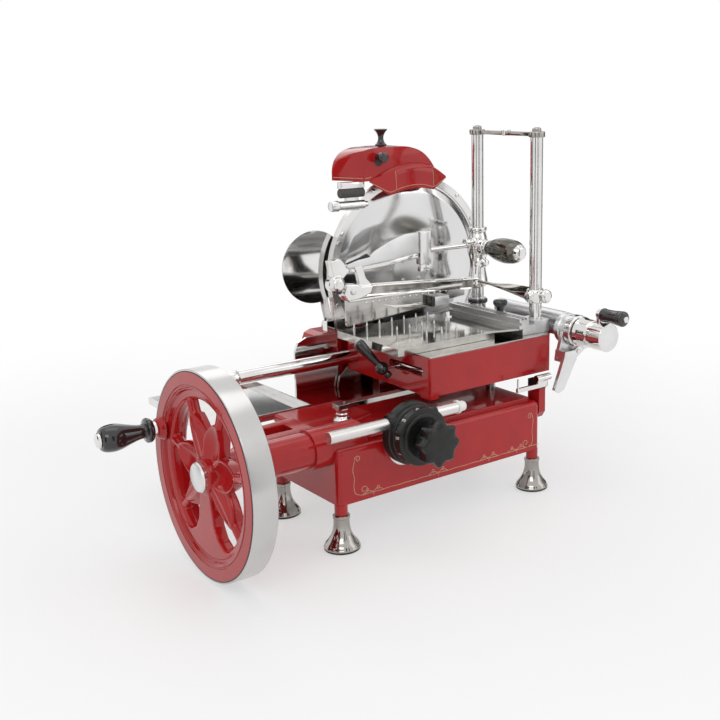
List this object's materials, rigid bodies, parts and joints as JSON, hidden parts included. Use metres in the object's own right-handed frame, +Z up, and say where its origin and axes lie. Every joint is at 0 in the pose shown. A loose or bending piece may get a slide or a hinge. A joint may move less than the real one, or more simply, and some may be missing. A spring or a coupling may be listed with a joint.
{
  "type": "hand crank meat slicer",
  "caption": "Flywheel meat slicer: a cranked spoked wheel turns a round blade, and a sliding carriage with a spiked table and clamp feeds the meat.",
  "frame": {"origin": "on the standing surface, under the centre of the front left foot", "axes": "+X along the carriage's travel, away from the flywheel; +Y from the dial side to the blade; +Z up"},
  "size_m": [0.6865, 0.4688, 0.519],
  "materials": {
    "red_paint": "high gloss enamel",
    "chrome": "polished chrome plate",
    "mirror_steel": "mirror polished stainless steel",
    "blade_steel": "finely ground steel",
    "brushed": "brushed steel",
    "aluminium": "satin aluminium",
    "black_plastic": "glossy moulded plastic",
    "black_satin": "satin moulded plastic",
    "black_metal": "black enamel",
    "rubber_feet": "matt rubber",
    "nylon": "white nylon",
    "dark_chrome": "dark polished metal",
    "stone": "abrasive stone in a dark holder"
  },
  "bodies": {
    "frame": {"base_casting": "red_paint", "foot_pads": "rubber_feet", "foot_bells": "chrome", "base_cover": "brushed", "shaft_neck": "red_paint", "ring_guard": "aluminium", "ring_screws": "chrome", "blade_column": "red_paint", "splash_plate": "mirror_steel", "lower_guard": "black_metal", "slice_tray": "mirror_steel", "deflector_pivot": "chrome", "sharpener_hood": "red_paint", "stone_block": "stone", "dial_flange": "aluminium", "dial_housing": "black_satin", "guide_tube": "chrome", "tube_bracket": "red_paint", "rail_pillar": "chrome", "front_rail": "chrome", "end_lug": "red_paint", "stop_block": "black_metal", "stop_bar": "chrome"},
    "wheel": {"flywheel": "red_paint", "wheel_tyre": "brushed", "main_shaft": "brushed", "crank_pin": "chrome"},
    "crank_handle": {"crank_grip": "black_plastic"},
    "blade_set": {"blade": "blade_steel", "blade_spindle": "brushed"},
    "deflector": {"slice_deflector": "mirror_steel"},
    "sharpener_lift": {"lift_knob": "black_plastic"},
    "sharpener_push": {"front_knob": "black_plastic"},
    "stone_turn": {"stone_spindle": "chrome"},
    "dial": {"dial_ring": "black_satin", "dial_knob": "black_satin"},
    "trip": {"trip_rod": "brushed", "trip_tip": "nylon"},
    "carriage": {"carriage": "red_paint", "carriage_top": "mirror_steel", "slot_rod": "chrome", "feed_housing": "aluminium"},
    "release_lever": {"lever_hub": "black_plastic", "lever_grip": "black_plastic"},
    "feed_screw": {"feed_drum": "aluminium", "feed_crank": "aluminium"},
    "feed_handle": {"feed_grip": "black_plastic"},
    "ratchet": {"ratchet_lever": "aluminium", "ratchet_bumper": "black_metal"},
    "table": {"meat_table": "mirror_steel", "table_spikes": "chrome", "table_slide": "aluminium", "table_knobs": "black_plastic", "posts": "chrome", "post_bar": "dark_chrome"},
    "clamp": {"clamp_frame": "chrome", "press_plate": "aluminium"},
    "clamp_lock": {"lock_handle": "dark_chrome"},
    "clamp_side_knob": {"side_knob": "dark_chrome"}
  },
  "joints": [
    {"name": "wheel_spin", "type": "hinge", "parent": "frame", "child": "wheel", "pos_m": [0, 0.026, 0.1314], "axis": [1, 0, 0], "continuous": true},
    {"name": "crank_grip_spin", "type": "hinge", "parent": "wheel", "child": "crank_handle", "pos_m": [0, 0.13282, 0.16508], "axis": [1, 0, 0], "continuous": true},
    {"name": "blade_spin", "type": "hinge", "parent": "frame", "child": "blade_set", "pos_m": [0.278, 0.219, 0.302], "axis": [0, 1, 0], "continuous": true},
    {"name": "deflector_swing", "type": "hinge", "parent": "frame", "child": "deflector", "pos_m": [0.134, 0.233, 0.234], "axis": [0, 1, 0], "range_deg": [-35, 0]},
    {"name": "sharpener_lift_slide", "type": "slide", "parent": "frame", "child": "sharpener_lift", "axis": [0, 0, 1], "range_m": [0, 0.012]},
    {"name": "sharpener_push_slide", "type": "slide", "parent": "frame", "child": "sharpener_push", "axis": [0, -1, 0], "range_m": [0, 0.008]},
    {"name": "stone_turn_spin", "type": "hinge", "parent": "frame", "child": "stone_turn", "pos_m": [0.166, 0.209, 0.41], "axis": [1, 0, 0], "continuous": true},
    {"name": "dial_turn", "type": "hinge", "parent": "frame", "child": "dial", "pos_m": [0.0975, -0.03, 0.1395], "axis": [0, 1, 0], "range_deg": [0, 270]},
    {"name": "trip_slide", "type": "slide", "parent": "frame", "child": "trip", "axis": [1, 0, 0], "range_m": [-0.012, 0]},
    {"name": "carriage_slide", "type": "slide", "parent": "frame", "child": "carriage", "axis": [1, 0, 0], "range_m": [-0.16, 0]},
    {"name": "release_lever_swing", "type": "hinge", "parent": "carriage", "child": "release_lever", "pos_m": [0.128, 0.087, 0.1978], "axis": [1, 0, 0], "range_deg": [-50, 0]},
    {"name": "feed_turn", "type": "hinge", "parent": "carriage", "child": "feed_screw", "pos_m": [0.405, -0.077, 0.227], "axis": [0, 1, 0], "range_deg": [-1800, 270]},
    {"name": "feed_grip_spin", "type": "hinge", "parent": "feed_screw", "child": "feed_handle", "pos_m": [0.405, -0.085, 0.2585], "axis": [0, 1, 0], "continuous": true},
    {"name": "ratchet_swing", "type": "hinge", "parent": "carriage", "child": "ratchet", "pos_m": [0.405, -0.002, 0.227], "axis": [0, 1, 0], "range_deg": [-25, 0]},
    {"name": "table_feed", "type": "slide", "parent": "carriage", "child": "table", "axis": [0, 1, 0], "range_m": [-0.05, 0.0075]},
    {"name": "clamp_slide", "type": "slide", "parent": "table", "child": "clamp", "axis": [0, 0, 1], "range_m": [0, 0.085]},
    {"name": "clamp_lock_turn", "type": "hinge", "parent": "clamp", "child": "clamp_lock", "pos_m": [0.37, 0.1, 0.335], "axis": [0, 1, 0], "range_deg": [-90, 90]},
    {"name": "clamp_side_turn", "type": "hinge", "parent": "clamp", "child": "clamp_side_knob", "pos_m": [0.37, 0.015, 0.278], "axis": [0, 1, 0], "range_deg": [0, 360]}
  ],
  "couplings": [
    {"joint": "blade_spin", "follows": "wheel_spin", "ratio": 4.5},
    {"joint": "trip_slide", "follows": "dial_turn", "m_per_rad": -0.0025465},
    {"joint": "feed_turn", "follows": "table_feed", "rad_per_m": 628.32}
  ]
}
